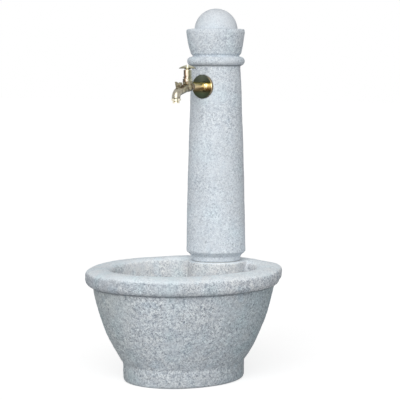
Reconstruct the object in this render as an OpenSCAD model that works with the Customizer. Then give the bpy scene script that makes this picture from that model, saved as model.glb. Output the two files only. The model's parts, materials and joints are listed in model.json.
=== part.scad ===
// Garden fountain of grey granite: an oval bowl, a turned column on a pier in the back of the bowl,
// a ball on top and a brass screw-down tap. Millimetres, +Z up, front is -Y.
// The origin is the centre of the foot, on the ground.

/* [Bowl] */
// Width of the rim across X, outside
rim_width = 515; // [464:1:566]
// Distance of the four arc centres of the oval from the bowl's centre
oval_offset = 49; // [40:1:56]
// Height of the rim's crest above the ground
bowl_height = 304; // [290:1:320]
// Width of the rim, from its outside to the opening
rim_broad = 70; // [62:1:74]
// Distance of the crest from the rim's outside
rim_crest_in = 41; // [36:1:44]
// Radius of the crowned top of the rim
rim_crown_r = 82; // [76:1:100]
// Drop from the crest to the lower edge of the rim's upright band
rim_drop = 30; // [28:1:33]
// Radius of the rounding under the rim
rim_under_r = 19; // [18:1:21]
// Radius of the rim's outer top edge
rim_outer_r = 14; // [8:1:16]
// Radius of the opening's edge
rim_inner_r = 18; // [14:1:19]
// How far the rim stands out past the bowl's side under it
rim_overhang = 20; // [18:0.5:21]
// Width of the foot
foot_width = 312; // [300:1:325]
// Height of the foot
foot_height = 47; // [40:1:52]
// Radius of the foot's lower edge
foot_edge_r = 7; // [4:1:10]
// How far the bowl's side swells out from a straight line
bowl_swell = 12.5; // [9:0.5:14]
// Height of the floor of the hollow above the ground
floor_height = 95; // [88:1:104]
// Width of the hollow where its side would meet the floor
floor_width = 260; // [240:1:270]
// How far the hollow's side swells out from a straight line
hollow_swell = 14; // [11:1:15]
// Radius between the hollow's side and its floor
hollow_fillet = 45; // [36:1:50]
// Half the width of the pier that carries the column
pier_r = 78; // [76:1:82]
// Radius of the pier's top edge
pier_edge_r = 7; // [4:1:8]

/* [Column] */
// Distance of the column's axis from the back of the rim
column_from_rim = 124.7; // [122:0.1:130]
// Radius of the narrow neck at the column's foot
neck_r = 68; // [66:1:69]
// Height of that neck
neck_height = 12.5; // [9:0.5:16]
// Height of the bevel above the neck
bevel_height = 13; // [9:0.5:16]
// Radius of the shaft above the bevel
shaft_low_r = 82.3; // [78:0.1:85]
// Radius of the shaft under the collar
shaft_top_r = 67.3; // [66:0.1:69]
// How far the shaft swells out from a straight taper
shaft_swell = 1.8; // [1:0.1:3]
// Distance of the middle of the collar below the cup
collar_below_cup = 16.3; // [14:0.1:20]
// Radius of the collar's round
collar_round = 12.3; // [10:0.1:13]
// Radius of the groove between collar and cup
groove_r = 64; // [60:1:66]
// Height of the cup
cup_height = 72; // [68:1:75]
// Radius of the cup at its top
cup_r = 82.5; // [79:0.5:86]
// Radius of the cup just above its underside
cup_low_r = 70.5; // [69:0.5:73]
// Radius of the cup's edges
cup_edge_r = 9; // [6:0.5:10]
// How far the cup's side swells out from a straight line
cup_swell = 1.8; // [1:0.1:2.5]
// Radius of the pipe channel in the column
channel_r = 32; // [31:0.5:34]
// Height of the channel's closed end above the tap's axis
channel_above_tap = 30; // [24:1:36]
// Thickness of the mortar bed under the column
bed_thickness = 2; // [1.5:0.5:4]

/* [Ball] */
// Radius of the ball
ball_r = 59.4; // [57:0.1:61]
// Total height of the fountain; a taller one has a longer shaft
total_height = 1000; // [900:1:1120]
// Height of the ball's top above the cup
ball_above_cup = 56; // [50:1:62]
// Depth of the ball's seat in the cup
ball_seat_depth = 22; // [16:1:26]

/* [Pins] */
// Radius of the pins between column and pier
dowel_r = 6; // [5:0.5:8]
// Length of those pins
dowel_length = 100; // [80:1:120]
// Distance of those pins from the column's axis
dowel_offset = 50; // [47:1:53]
// Radius of the pin under the ball
ball_pin_r = 5; // [4:0.5:6]
// Length of the pin under the ball
ball_pin_length = 50; // [40:1:56]

/* [Supply] */
// Distance of the riser in front of the column's axis
riser_forward = 9; // [8:0.5:10]
// Outer radius of the riser pipe
riser_r = 7.5; // [7:0.1:8]
// Wall of the riser pipe
riser_wall = 1; // [0.7:0.1:1.5]
// Radius of the drilled way for the riser through the bowl
riser_way_r = 10; // [9:0.5:11]
// Radius of the pocket for the inlet coupling under the foot
inlet_pocket_r = 15.5; // [15:0.5:16]
// Depth of that pocket
inlet_pocket_depth = 44; // [42:1:50]
// Radius of the inlet's female thread
inlet_thread_r = 9.3; // [8.5:0.1:9.6]
// Depth of the inlet's female thread
inlet_thread_depth = 14; // [10:1:16]
// Distance of the inlet's mouth above the ground
inlet_clear = 4; // [2:0.5:6]
// Width across flats of the fittings' hexagons
fitting_hex = 24; // [23:0.5:25]

/* [Tap] */
// Distance of the tap's axis below the cup
tap_below_cup = 85.4; // [80:0.1:94]
// Distance of the rosette's seat from the column's axis
rosette_seat = 65; // [63:0.5:66]
// Radius of the rosette
rosette_r = 32; // [28:0.5:34]
// Depth of the rosette
rosette_depth = 7.4; // [6:0.1:9]
// Radius of the tap's neck pipe
neck_pipe_r = 8.5; // [8:0.1:9]
// Radius of the tap's tail thread
tail_r = 8.3; // [7.8:0.1:8.4]
// Radius of the waterway in tail and extension
water_r = 5; // [4:0.1:5.5]
// Distance of the valve's axis from the column's axis
valve_reach = 143; // [139:0.5:146]
// Distance from the hexagon's back face to the valve's axis
hex_back = 21.5; // [20:0.5:23]
// Width across flats of the tap's hexagon
hex_flats = 20; // [18:0.5:21]
// Radius of the valve chamber outside
chamber_r = 14; // [13.6:0.1:15]
// Distance of the outlet's axis from the column's axis
outlet_reach = 199; // [197:0.5:202]
// Outer radius of the spout
spout_r = 11.5; // [11:0.1:12]
// Radius of the waterway in the spout
spout_water_r = 7; // [6:0.1:8]
// Slope of the spout below level, in degrees
spout_slope = 15; // [12:1:17]
// Radius of the spout's bend
spout_bend = 18; // [16:0.5:20]
// Height of the bonnet's seat above the tap's axis
bonnet_seat = 13.4; // [12.6:0.1:14.4]
// Radius of the valve seat's opening
seat_hole_r = 5; // [4.6:0.1:5.4]
// Height of the valve seat above the tap's axis
seat_rise = 2.4; // [2:0.1:2.8]
// Radius of the threaded part of the spindle
spindle_r = 6; // [5.6:0.1:6.4]
// Radius of the spindle's stem in the gland
stem_r = 4; // [3.6:0.1:4.3]
// How far the spindle rises from closed to open
valve_lift = 5; // [4:0.1:5.4]
// Length of the T-handle, over its ends
handle_length = 57; // [50:0.5:64]
// Depth of the T-handle from its crest to its flat underside
handle_depth = 9.5; // [9:0.1:9.8]
// Radius of the T-handle's round top, across it
handle_bar_r = 5; // [4.9:0.1:5.4]
// Radius of the nozzle outside
nozzle_r = 9.3; // [8.8:0.1:9.8]
// Length of the nozzle below its ring
nozzle_length = 7; // [5:0.5:12]
// Radius of the nozzle's ring
nozzle_ring_r = 12.4; // [12.2:0.1:13]

/* [Drain] */
// Distance of the drain in front of the bowl's centre
drain_forward = 40; // [30:1:50]
// Radius of the drain's flange
flange_r = 36; // [34:0.5:38]
// Thickness of the drain's flange
flange_thickness = 4; // [3.5:0.5:5]
// Radius of the drain's tail thread
drain_r = 21; // [20:0.1:22]
// Radius of the plain spigot at the drain's end, for a waste pipe's socket
drain_spigot_r = 20; // [19.5:0.1:20.5]
// Radius of the drain's waterway
drain_water_r = 17.5; // [16:0.1:18.5]
// Depth of the pocket under the bowl for the back nut
drain_pocket_depth = 45; // [42:1:50]
// Radius of that pocket
drain_pocket_r = 55; // [50:1:60]
// Distance of the tail's end above the ground
drain_clear = 8; // [5:1:12]
// Width across flats of the back nut
drain_nut_flats = 56; // [52:1:60]
// Radius of the strainer grid
strainer_r = 24; // [22:0.5:26]

/* [Hidden] */

// Clearances
fit_gap = 0.05;   // running and threaded fits, radial
loose_gap = 0.3;  // pieces that only lie in a pocket
eps = 0.01;       // lets cuts pass through a face
over = 1;         // how far joined shapes and cuts run into each other

// Rounds of the facets: stone, brass and small parts
stone_fn = 144;
brass_fn = 64;
$fn = brass_fn;

// Stone colours
granite = [0.72, 0.75, 0.79];
granite_light = [0.80, 0.82, 0.85];
mortar = [0.60, 0.61, 0.62];
brass = [0.83, 0.66, 0.32];
steel = [0.62, 0.63, 0.65];
copper = [0.72, 0.43, 0.29];
rubber = [0.12, 0.12, 0.12];
fibre = [0.55, 0.20, 0.14];

// Centre of the circle through p and q that swells by s beyond their line, on the right of p to q
function swell_radius(p, q, s) = (pow(norm(q - p) / 2, 2) + s * s) / (2 * s);
function swell_centre(p, q, s) =
    (p + q) / 2 - (swell_radius(p, q, s) - s) * [(q - p).y, -(q - p).x] / norm(q - p);
// Points of that arc from p to q
function swell_points(p, q, s, n) =
    let (c = swell_centre(p, q, s), r = swell_radius(p, q, s),
         a0 = atan2(p.y - c.y, p.x - c.x), a1 = atan2(q.y - c.y, q.x - c.x))
    [for (i = [0 : n]) c + r * [cos(a0 + (a1 - a0) * i / n), sin(a0 + (a1 - a0) * i / n)]];
// Points of the arc round c from angle a0 to a1, in n steps; the first can be left out
function arc_points(c, r, a0, a1, n, first = 0) =
    [for (i = [first : n]) c + r * [cos(a0 + (a1 - a0) * i / n), sin(a0 + (a1 - a0) * i / n)]];
// Direction of d seen from c, in degrees
function heading(c, d) = atan2(d.y - c.y, d.x - c.x);

// Bowl, seen as half a section: x is the radius across X, y the height
rim_r = rim_width / 2;
open_r = rim_r - rim_broad;
foot_r = foot_width / 2;
band_low = bowl_height - rim_drop;
under_c = [rim_r - rim_under_r, band_low];
under_heading = -acos((rim_under_r - rim_overhang) / rim_under_r);
crown_c = [rim_r - rim_crest_in, bowl_height - rim_crown_r];
function crown_seat(x, r) = [x, crown_c.y + sqrt(pow(rim_crown_r - r, 2) - pow(x - crown_c.x, 2))];
outer_c = crown_seat(rim_r - rim_outer_r, rim_outer_r);
inner_c = crown_seat(open_r + rim_inner_r, rim_inner_r);
outer_heading = heading(crown_c, outer_c);
inner_heading = heading(crown_c, inner_c);
join_shift = (sqrt(2) - 1) * oval_offset;
bowl_p = [foot_r, foot_height];
bowl_q = under_c + rim_under_r * [cos(under_heading), sin(under_heading)];
hollow_p = [floor_width / 2, floor_height];
hollow_q = [open_r, inner_c.y];
hollow_c = swell_centre(hollow_p, hollow_q, hollow_swell);
hollow_r = swell_radius(hollow_p, hollow_q, hollow_swell);
fillet_y = floor_height + hollow_fillet;
fillet_c = [hollow_c.x + sqrt(pow(hollow_r - hollow_fillet, 2) - pow(fillet_y - hollow_c.y, 2)), fillet_y];
fillet_heading = heading(hollow_c, fillet_c);
// Section of the bowl's stone, from the axis of the side arcs out, up over the rim and down into the hollow
bowl_outline = concat(
    [[-oval_offset, 0]],
    arc_points([foot_r - foot_edge_r, foot_edge_r], foot_edge_r, -90, 0, 3),
    swell_points(bowl_p, bowl_q, bowl_swell, 9),
    arc_points(under_c, rim_under_r, under_heading, 0, 6, 1),
    arc_points(outer_c, rim_outer_r, 0, outer_heading, 5),
    arc_points(crown_c, rim_crown_r, outer_heading, inner_heading, 5, 1),
    arc_points(inner_c, rim_inner_r, inner_heading, 180, 5, 1),
    arc_points(hollow_c, hollow_r, heading(hollow_c, hollow_q), fillet_heading, 9, 1),
    arc_points(fillet_c, hollow_fillet, fillet_heading, -90, 6, 1),
    [[-oval_offset, floor_height]]
);

// Place and levels of the column
column_back = rim_r + oval_offset - join_shift - column_from_rim;
cup_top = total_height - ball_above_cup;
cup_level = cup_top - cup_height;
collar_level = cup_level - collar_below_cup;
tap_level = cup_level - tap_below_cup;
column_rise = 1;
column_foot = bowl_height + column_rise;
seat_level = column_foot - bed_thickness;
bevel_level = column_foot + neck_height;
shaft_level = bevel_level + bevel_height;
shaft_top_level = collar_level - collar_round;
channel_top = tap_level + channel_above_tap;
ball_level = total_height - ball_r;
ball_bed = cup_top - ball_seat_depth;
shaft_steps = 10;
cup_steps = 6;
pier_back = rim_r - column_back;
core_gap = 10;
bevel_foot = 1;
bed_inset = 2;

// Rosette's flat on the shaft
rosette_flat_r = rosette_r + 1;

// Supply
riser_y = column_back - riser_forward;
riser_way = riser_r + fit_gap;
inlet_hex_length = 20;
inlet_socket = 16;
inlet_socket_wall = 2.5;
inlet_socket_r = riser_r + inlet_socket_wall;
inlet_stop = inlet_clear + inlet_hex_length;
elbow_leg_r = 11;
elbow_mouth_r = 13;
elbow_mouth = 22;
elbow_drop = 18;
elbow_thread_r = 9.5;
elbow_thread = 12;
elbow_socket = 12;
elbow_lip = 2;
elbow_stop = 8;
olive_height = 4;
olive_slack = 1;
olive_edge = 0.6;
olive_clear = 0.5;
riser_nut_height = 14;
riser_nut_lip = 3;
riser_end = tap_level - elbow_stop;
elbow_foot = tap_level - elbow_drop - elbow_thread;
olive_level = elbow_foot - olive_height - olive_slack / 2;
riser_nut_level = olive_level - riser_nut_lip - olive_slack / 2;

// Extension, along the tap's axis; distances are counted from the column's axis
mouth_dist = riser_forward + elbow_mouth;
extension_r = 11;
extension_hole_r = 14;
extension_inset = 3.5;
extension_front = rosette_seat - extension_inset;
extension_thread = 10;
extension_socket = 14;

// Tap
tail_slack = 1;
tail_end = extension_front - extension_socket + tail_slack;
rosette_lip = 1.6;
rosette_hub_r = 13;
rosette_hub_out = 3;
rosette_dish = 3;
rosette_wall = 2.2;
rosette_hub_edge = 1.5;
rosette_cove_w = 1;
rosette_cove_h = 0.6;
hex_length = 11;
low_water_r = 3.8;
low_water_drop = 4.6;
low_water_start = 1.5;
low_chamber_drop = 9;
bore_past_hex = 4;
cone_flare = 1;
chamber_neck_r = chamber_r - 0.5;
upper_chamber_r = 10;
body_thread_r = 11;
body_thread_drop = 7;
skirt_r = 9;
pass_r = 3.5;
pass_slope = 30;
pass_length = 22;
pass_start = [0, -5, seat_rise + 5.7];
bend_y = -outlet_reach + spout_bend;
bend_z = -((outlet_reach - valve_reach - spout_bend) + spout_bend * sin(spout_slope)) * tan(spout_slope)
    - spout_bend * cos(spout_slope);
slope_length = (outlet_reach - valve_reach - spout_bend + spout_bend * sin(spout_slope)) / cos(spout_slope);
spout_bead = 0.5;
lug_width = 7;
lug_round = 4.5;
lug_behind_outlet = 20;
lug_level = 8;
// Corners of the lug, forward and up from the centre of its round horn
lug_foot = [[lug_round, -16], [-14, -20]];
lug_horn = [[-17, -6], [-21, 6], [-16.5, 3.5]];
lug_notch = [[-11, -3], [-7, -4]];

// Bonnet and valve, heights above the tap's axis
washer_t = 1;
bonnet_level = bonnet_seat + washer_t;
bonnet_hex = 24;
bonnet_hex_height = 7.5;
bonnet_corner = 1;
ring_rise = 9.5;
ring_level = bonnet_level + ring_rise;
ring_height = 3.6;
ring_r = 12.2;
barrel_r = 9.6;
bonnet_height = 22;
bonnet_top = bonnet_level + bonnet_height;
gland_r = 7;
gland_depth = 8;
packing_height = 4.5;
gland_grip = 6.5;
gland_low = bonnet_top - gland_grip;
gland_rise = 9;
gland_top = bonnet_top + gland_rise;
gland_flats = 19;
gland_corner_r = 10.5;
gland_thread_r = 8.6;
gland_slack = 0.2;
skirt_depth = 6;
jumper_t = 2.6;
jumper_r = 8.2;
jumper_stem_r = 3;
jumper_stem = 13;
jumper_slack = 1;
washer_r = 7.8;
seat_washer_t = 3;
valve_gap = 0.2;
jumper_pin_r = 1.9;
jumper_nut_t = 3;
jumper_nut_flats = 6.6;
washer_low = seat_rise + valve_gap;
jumper_low = washer_low + seat_washer_t;
spindle_low = jumper_low + jumper_t + valve_gap;
bonnet_wall = 2.6;
spindle_head_top = bonnet_top - gland_depth - bonnet_wall - valve_lift - loose_gap;
head_room = spindle_head_top + valve_lift + loose_gap;
square_w = 6.8;
square_rise = 0.4;
square_low = gland_top + square_rise;
square_length = 9.6;
square_top = square_low + square_length;
hub_rise = 0.8;
hub_level = gland_top + hub_rise;
hub_r = 8.6;
hub_top_r = 5.8;
hub_below_arch = 0.4;
arch_rise = 13;
arch_level = gland_top + arch_rise;
handle_low = arch_level - handle_depth;
handle_past_end = 3;
screw_head_r = 4.2;
screw_head_t = 1.6;
screw_sink = 1.2;
screw_r = 2;
screw_grip = 7;
screw_slot_w = 0.9;
screw_slot_depth = 0.8;

// Nozzle, below the spout's end
nozzle_washer_t = 1.5;
nozzle_thread_r = 8.5;
nozzle_socket = 6;
nozzle_ring_height = 6;
nozzle_water_r = 6.4;
nozzle_washer_in = 0.5;

// Drain
drain_recess = 7;
gasket_t = drain_recess - flange_thickness;
drain_hole_clear = 1.5;
drain_hole_r = drain_r + drain_hole_clear;
flange_clear = 1;
gasket_in = 1;
drain_nut_height = 10;
drain_washer_t = 3;
drain_washer_out = 3;
thread_past_nut = 2;
drain_nut_level = drain_pocket_depth - drain_washer_t - drain_nut_height;
drain_thread_level = drain_nut_level - thread_past_nut;
strainer_t = 2;
strainer_bar_w = 7;
strainer_bar_h = 8;
strainer_hole_r = 2.4;
strainer_edge = 5;
strainer_pitch = 7.2;
strainer_outer_row = strainer_r - strainer_hole_r - strainer_edge;
strainer_inner_row = strainer_outer_row - strainer_pitch;
strainer_outer_holes = 12;
strainer_inner_holes = 6;
strainer_screw_r = 2.4;
strainer_head_r = 5;
strainer_head_taper = 1.5;
strainer_head_h = 2.4;
strainer_slot_w = 1.2;
strainer_slot_depth = 1.2;

// Flat ring between two radii
module ring(r_in, r_out, h) {
    difference() {
        cylinder(r = r_out, h = h);
        translate([0, 0, -eps]) cylinder(r = r_in, h = h + 2 * eps);
    }
}

// Hexagonal bar by its width across flats, flats facing X
module hexagon(flats, h) {
    rotate([0, 0, 30]) cylinder(r = flats / sqrt(3), h = h, $fn = 6);
}

// Lays an upright shape forward along the tap's axis, starting d from the column's axis
module forward(d) {
    translate([0, -d, 0]) rotate([90, 0, 0]) children();
}

module at_tap() {
    translate([0, column_back, tap_level]) children();
}

module at_valve() {
    at_tap() translate([0, -valve_reach, 0]) children();
}

module at_drain() {
    translate([0, -drain_forward, 0]) children();
}

module at_column() {
    translate([0, column_back, 0]) children();
}

module at_riser() {
    translate([0, riser_y, 0]) children();
}

// Bowl

// Stone that the pier may fill: the hollow and part of the wall round it
module core_section() {
    polygon([
        [-oval_offset, floor_height - over], [floor_width / 2 + core_gap, floor_height - over],
        [open_r + 2 * core_gap, inner_c.y], [open_r + 2 * core_gap, bowl_height], [-oval_offset, bowl_height]
    ]);
}

// Four-centre oval: a section at the +X side is turned round two side centres and two end centres
module oval_turn() {
    for (half = [0, 180]) rotate([0, 0, half]) {
        translate([-oval_offset, 0, 0]) rotate([0, 0, -45]) rotate_extrude(angle = 90, $fn = stone_fn)
            translate([oval_offset, 0]) children();
        translate([0, oval_offset, 0]) rotate([0, 0, 45]) rotate_extrude(angle = 90, $fn = stone_fn)
            intersection() {
                translate([-join_shift, 0]) children();
                square([rim_r, bowl_height + over]);
            }
    }
}

// Pier: a round front and straight sides that run back into the rim
module pier(low) {
    height = seat_level - low;
    at_column() translate([0, 0, low]) {
        rotate_extrude($fn = stone_fn) pier_section(height);
        rotate([-90, 0, 0]) mirror([0, 1, 0]) linear_extrude(pier_back) {
            pier_section(height);
            mirror([1, 0, 0]) pier_section(height);
        }
    }
}

module pier_section(height) {
    polygon([
        [0, 0], [pier_r, 0], [pier_r, height - pier_edge_r], [pier_r - pier_edge_r, height], [0, height]
    ]);
    translate([pier_r - pier_edge_r, height - pier_edge_r]) circle(r = pier_edge_r);
}

module dowel_holes(low, high) {
    for (side = [-1, 1])
        at_column() translate([side * dowel_offset, 0, low])
            cylinder(r = dowel_r + loose_gap, h = high - low);
}

module basin() {
    color(granite) difference() {
        union() {
            oval_turn() polygon(bowl_outline);
            intersection() {
                pier(floor_height - over);
                oval_turn() core_section();
            }
        }
        at_drain() {
            translate([0, 0, floor_height - drain_recess])
                cylinder(r = flange_r + flange_clear, h = drain_recess + over, $fn = stone_fn);
            cylinder(r = drain_hole_r, h = floor_height);
            translate([0, 0, -eps])
                cylinder(r = drain_pocket_r, h = drain_pocket_depth + eps, $fn = stone_fn);
        }
        at_riser() {
            cylinder(r = riser_way_r, h = bowl_height);
            translate([0, 0, -eps]) cylinder(r = inlet_pocket_r, h = inlet_pocket_depth + eps);
        }
        dowel_holes(seat_level - dowel_length / 2 - loose_gap, bowl_height + over);
    }
}

// Column

module shaft_section() {
    polygon(concat(
        [[0, column_foot], [neck_r, column_foot], [neck_r + bevel_foot, bevel_level]],
        swell_points([shaft_low_r, shaft_level], [shaft_top_r, shaft_top_level], shaft_swell, shaft_steps),
        [[shaft_top_r, collar_level], [groove_r, collar_level], [groove_r, cup_level + cup_edge_r],
         [0, cup_level + cup_edge_r]]
    ));
    translate([shaft_top_r, collar_level]) circle(r = collar_round);
}

module cup_section() {
    low_c = [cup_low_r - cup_edge_r, cup_level + cup_edge_r];
    top_c = [cup_r - cup_edge_r, cup_top - cup_edge_r];
    polygon(concat(
        [[0, cup_level], [low_c.x, cup_level]],
        swell_points([cup_low_r, low_c.y], [cup_r, top_c.y], cup_swell, cup_steps),
        [[top_c.x, cup_top], [0, cup_top]]
    ));
    translate(low_c) circle(r = cup_edge_r);
    translate(top_c) circle(r = cup_edge_r);
}

module column() {
    color(granite) difference() {
        at_column() rotate_extrude($fn = stone_fn) {
            shaft_section();
            cup_section();
        }
        at_column() {
            translate([0, 0, column_foot - eps])
                cylinder(r = channel_r, h = channel_top - column_foot + eps, $fn = stone_fn);
            ball(loose_gap);
            translate([0, 0, ball_bed - ball_pin_length / 2 - loose_gap])
                cylinder(r = ball_pin_r + loose_gap, h = ball_pin_length / 2 + 2 * loose_gap);
        }
        at_tap() {
            forward(0) cylinder(r = extension_hole_r, h = shaft_low_r);
            forward(rosette_seat) cylinder(r = rosette_flat_r, h = shaft_low_r, $fn = stone_fn);
        }
        dowel_holes(column_foot - eps, seat_level + dowel_length / 2 + loose_gap);
    }
}

module bedding_joint() {
    color(mortar) difference() {
        at_column() translate([0, 0, seat_level]) ring(channel_r, neck_r - bed_inset, bed_thickness);
        dowel_holes(seat_level - eps, column_foot + eps);
    }
}

module column_dowels() {
    color(steel) for (side = [-1, 1])
        at_column() translate([side * dowel_offset, 0, seat_level - dowel_length / 2])
            cylinder(r = dowel_r, h = dowel_length);
}

// Ball on its flat bed, larger all round by gap
module ball(gap) {
    intersection() {
        translate([0, 0, ball_level]) sphere(r = ball_r + gap, $fn = stone_fn);
        translate([-cup_r, -cup_r, ball_bed]) cube([2 * cup_r, 2 * cup_r, 2 * ball_r]);
    }
}

module finial_ball() {
    color(granite_light) at_column() difference() {
        ball(0);
        translate([0, 0, ball_bed - eps])
            cylinder(r = ball_pin_r + loose_gap, h = ball_pin_length / 2 + loose_gap);
    }
}

module finial_dowel() {
    color(steel) at_column() translate([0, 0, ball_bed - ball_pin_length / 2])
        cylinder(r = ball_pin_r, h = ball_pin_length);
}

// Supply

module inlet_coupling() {
    color(brass) at_riser() translate([0, 0, inlet_clear]) difference() {
        union() {
            hexagon(fitting_hex, inlet_hex_length);
            cylinder(r = inlet_socket_r, h = inlet_hex_length + inlet_socket);
        }
        translate([0, 0, -eps]) cylinder(r = inlet_thread_r, h = inlet_thread_depth + eps);
        cylinder(r = riser_r - riser_wall, h = inlet_hex_length + eps);
        translate([0, 0, inlet_hex_length]) cylinder(r = riser_way, h = inlet_socket + eps);
    }
}

module riser_pipe() {
    color(copper) at_riser() translate([0, 0, inlet_stop])
        ring(riser_r - riser_wall, riser_r, riser_end - inlet_stop);
}

module riser_olive() {
    color(copper) at_riser() translate([0, 0, olive_level]) difference() {
        rotate_extrude() polygon([
            [0, 0], [riser_r + olive_edge, 0], [elbow_thread_r - olive_clear, olive_height / 2],
            [riser_r + olive_edge, olive_height], [0, olive_height]
        ]);
        translate([0, 0, -eps]) cylinder(r = riser_way, h = olive_height + 2 * eps);
    }
}

module riser_nut() {
    color(brass) at_riser() translate([0, 0, riser_nut_level]) difference() {
        hexagon(fitting_hex, riser_nut_height);
        translate([0, 0, -eps]) cylinder(r = riser_way, h = riser_nut_height);
        translate([0, 0, riser_nut_lip]) cylinder(r = elbow_thread_r + fit_gap, h = riser_nut_height);
    }
}

module wall_elbow() {
    color(brass) at_riser() translate([0, 0, tap_level]) difference() {
        union() {
            translate([0, 0, -elbow_drop]) cylinder(r = elbow_leg_r, h = elbow_drop);
            translate([0, 0, -elbow_drop - elbow_thread])
                cylinder(r = elbow_thread_r, h = elbow_thread + over);
            sphere(r = elbow_leg_r);
            rotate([90, 0, 0]) cylinder(r = elbow_leg_r, h = elbow_mouth);
            translate([0, -elbow_mouth + elbow_socket + elbow_lip, 0]) rotate([90, 0, 0])
                cylinder(r = elbow_mouth_r, h = elbow_socket + elbow_lip);
        }
        translate([0, 0, -elbow_drop - elbow_thread - eps])
            cylinder(r = riser_way, h = elbow_drop + elbow_thread - elbow_stop + eps);
        translate([0, 0, -elbow_stop - over]) cylinder(r = water_r, h = elbow_stop + over);
        rotate([90, 0, 0]) cylinder(r = water_r, h = elbow_mouth + eps);
        translate([0, -elbow_mouth + elbow_socket, 0]) rotate([90, 0, 0])
            cylinder(r = tail_r + fit_gap, h = elbow_socket + eps);
    }
}

module extension_nipple() {
    color(brass) at_tap() difference() {
        union() {
            forward(mouth_dist + loose_gap)
                cylinder(r = extension_r, h = extension_front - mouth_dist - loose_gap);
            forward(mouth_dist - extension_thread) cylinder(r = tail_r, h = extension_thread + over);
        }
        forward(mouth_dist - extension_thread - eps) cylinder(r = water_r, h = rosette_seat);
        forward(extension_front - extension_socket)
            cylinder(r = tail_r + fit_gap, h = extension_socket + over);
    }
}

module nipple_grout() {
    back = channel_r + loose_gap;
    color(mortar) at_tap() forward(back) ring(extension_r, extension_hole_r, extension_front - back);
}

// Tap

module rosette_section() {
    hub_front = rosette_depth + rosette_hub_out;
    dish_front = rosette_depth - rosette_dish;
    polygon([
        [neck_pipe_r + loose_gap, dish_front - rosette_wall],
        [neck_pipe_r + loose_gap, hub_front],
        [rosette_hub_r - rosette_hub_edge, hub_front],
        [rosette_hub_r, hub_front - rosette_hub_edge],
        [rosette_hub_r, dish_front + rosette_cove_h],
        [rosette_hub_r + rosette_cove_w, dish_front],
        [rosette_r - rosette_lip, rosette_depth],
        [rosette_r, rosette_depth - rosette_lip / 2],
        [rosette_r, 0],
        [rosette_r - rosette_wall, 0],
        [rosette_r - rosette_wall, rosette_depth - rosette_wall],
        [rosette_hub_r + rosette_cove_w, dish_front - rosette_wall]
    ]);
}

module rosette() {
    color(brass) at_tap() forward(rosette_seat) rotate_extrude($fn = stone_fn) rosette_section();
}

// Spout along its slope and round its bend; the sloping part is thicker by a cast bead
module spout(r) {
    rotate([90 + spout_slope, 0, 0]) cylinder(r = r + spout_bead, h = slope_length);
    translate([0, valve_reach + bend_y, bend_z]) rotate([90, 0, 90])
        rotate([0, 0, 90 + spout_slope]) rotate_extrude(angle = 90 - spout_slope)
            translate([spout_bend, 0]) circle(r = r);
}

// Cast lug with a notch between a round horn and a pointed one
module lug() {
    lug_y = valve_reach - outlet_reach + lug_behind_outlet;
    translate([-lug_width / 2, lug_y, lug_level]) rotate([90, 0, 90]) linear_extrude(lug_width) {
        circle(r = lug_round);
        polygon(concat([[lug_round, 0]], lug_foot, lug_horn, lug_notch, [[-lug_round, 0]]));
    }
}

module tap_body() {
    color(brass) at_tap() difference() {
        union() {
            forward(tail_end) cylinder(r = tail_r, h = rosette_seat - tail_end + over);
            forward(rosette_seat) cylinder(r = neck_pipe_r, h = valve_reach - rosette_seat);
            forward(valve_reach - hex_back) intersection() {
                hexagon(hex_flats, hex_length);
                cylinder(r1 = hex_flats / 2, r2 = hex_flats / 2 + hex_length, h = hex_length);
            }
            forward(valve_reach - hex_back + hex_length)
                cylinder(r1 = hex_flats / 2, r2 = hex_flats / 2 + cone_flare, h = hex_back - hex_length);
            translate([0, -valve_reach, 0]) {
                sphere(r = chamber_r);
                cylinder(r = chamber_neck_r, h = bonnet_seat);
                spout(spout_r);
                lug();
            }
        }
        // Waterway to the underside of the seat
        forward(tail_end - eps) cylinder(r = water_r, h = valve_reach - hex_back - tail_end + bore_past_hex);
        translate([0, 0, -low_water_drop]) forward(valve_reach - hex_back + low_water_start)
            cylinder(r = low_water_r, h = hex_back - low_water_start);
        translate([0, -valve_reach, 0]) {
            translate([0, 0, -low_chamber_drop])
                cylinder(r = seat_hole_r, h = low_chamber_drop + seat_rise + eps);
            translate([0, 0, seat_rise]) cylinder(r = upper_chamber_r, h = bonnet_seat);
            translate([0, 0, bonnet_seat - body_thread_drop])
                cylinder(r = body_thread_r, h = body_thread_drop + over);
            // From the chamber down into the spout
            translate(pass_start) rotate([90 + pass_slope, 0, 0]) cylinder(r = pass_r, h = pass_length);
            spout_way();
        }
        at_spout_end() translate([0, 0, -eps]) cylinder(r = nozzle_thread_r, h = nozzle_socket + eps);
    }
}

// Waterway of the spout, clear of the chamber under the seat
module spout_way() {
    translate([0, valve_reach + bend_y, bend_z]) rotate([90, 0, 90])
        rotate([0, 0, 90 + spout_slope]) rotate_extrude(angle = 90 - spout_slope)
            translate([spout_bend, 0]) circle(r = spout_water_r);
    rotate([90 + spout_slope, 0, 0]) translate([0, 0, slope_length / 2])
        cylinder(r = spout_water_r + spout_bead, h = slope_length / 2);
}

module bonnet_washer() {
    color(fibre) at_valve() translate([0, 0, bonnet_seat])
        ring(body_thread_r + fit_gap, chamber_neck_r, washer_t);
}

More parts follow.
